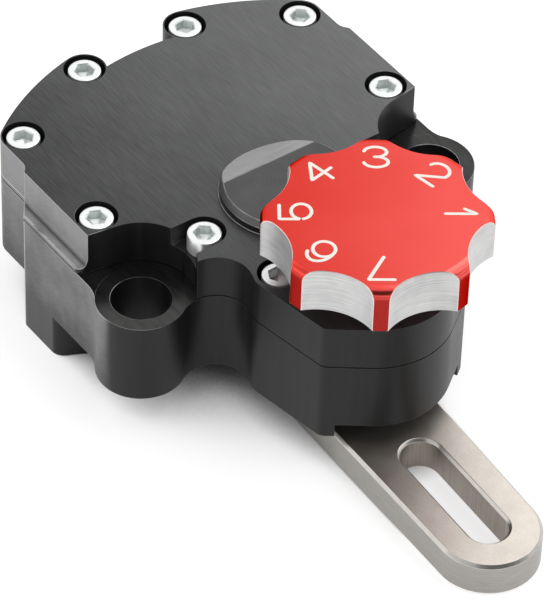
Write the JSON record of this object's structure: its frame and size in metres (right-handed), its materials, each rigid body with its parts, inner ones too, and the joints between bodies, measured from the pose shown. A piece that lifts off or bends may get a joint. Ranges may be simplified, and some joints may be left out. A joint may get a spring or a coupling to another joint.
{
  "type": "motorcycle steering damper",
  "caption": "Rotary steering damper with a fan-shaped body, two bolt ears, a swinging slotted link arm and a fluted knob that sets the damping.",
  "frame": {"origin": "on the vane shaft's axis, level with the underside of the two mounting ears, midway between them", "axes": "+Z along the shaft towards the cover and knob, +Y towards the fan-shaped back, +X through the right ear"},
  "size_m": [0.0906, 0.1439, 0.0557],
  "materials": {
    "housing_anodise": "dark anodised, milled",
    "cover_anodise": "dark anodised, brushed",
    "cap_anodise": "dark anodised, turned",
    "knob_red_anodise": "red anodised, bright milled flutes",
    "arm_stainless": "satin",
    "zinc_steel": "bright zinc",
    "shaft_steel": "ground",
    "black_steel": "black oxide",
    "bush_bronze": "sintered bronze",
    "gasket_fibre": "fibre sheet",
    "black_rubber": "smooth",
    "seal_plastic": "filled plastic"
  },
  "bodies": {
    "body": {"housing": "housing_anodise", "top_cover": "cover_anodise", "cover_gasket": "gasket_fibre", "centre_cap": "cap_anodise", "cap_seal": "black_rubber", "cover_screw_1": "zinc_steel", "cover_screw_2": "zinc_steel", "cover_screw_3": "zinc_steel", "cover_screw_4": "zinc_steel", "cover_screw_5": "zinc_steel", "cover_screw_6": "zinc_steel", "cover_screw_7": "zinc_steel", "cover_screw_8": "zinc_steel", "cover_screw_9": "zinc_steel", "cover_screw_10": "zinc_steel", "upper_bush": "bush_bronze", "lower_bush": "bush_bronze", "shaft_seal": "black_rubber", "valve_body": "cap_anodise", "valve_body_seal": "black_rubber", "valve_seat": "bush_bronze", "detent_ball": "shaft_steel", "detent_spring": "shaft_steel"},
    "arm": {"vane_shaft": "shaft_steel", "vane_tip_seal": "seal_plastic", "link_arm": "arm_stainless", "arm_washer": "zinc_steel", "arm_screw": "zinc_steel"},
    "dial": {"valve_stem": "shaft_steel", "knob": "knob_red_anodise", "knob_grub_screw": "black_steel"},
    "needle": {"metering_needle": "shaft_steel"}
  },
  "joints": [
    {"name": "arm_swing", "type": "hinge", "parent": "body", "child": "arm", "pos_m": [0, 0, 0], "axis": [0, 0, 1], "range_deg": [-38.9, 45.1]},
    {"name": "knob_turn", "type": "hinge", "parent": "body", "child": "dial", "pos_m": [0, -0.0289, 0], "axis": [0, 0, 1], "range_deg": [-135, 135]},
    {"name": "needle_slide", "type": "slide", "parent": "body", "child": "needle", "axis": [0, 0, 1], "range_m": [-0.00151, 0.00151]}
  ],
  "couplings": [
    {"joint": "needle_slide", "follows": "knob_turn", "m_per_rad": 0.00063662}
  ]
}
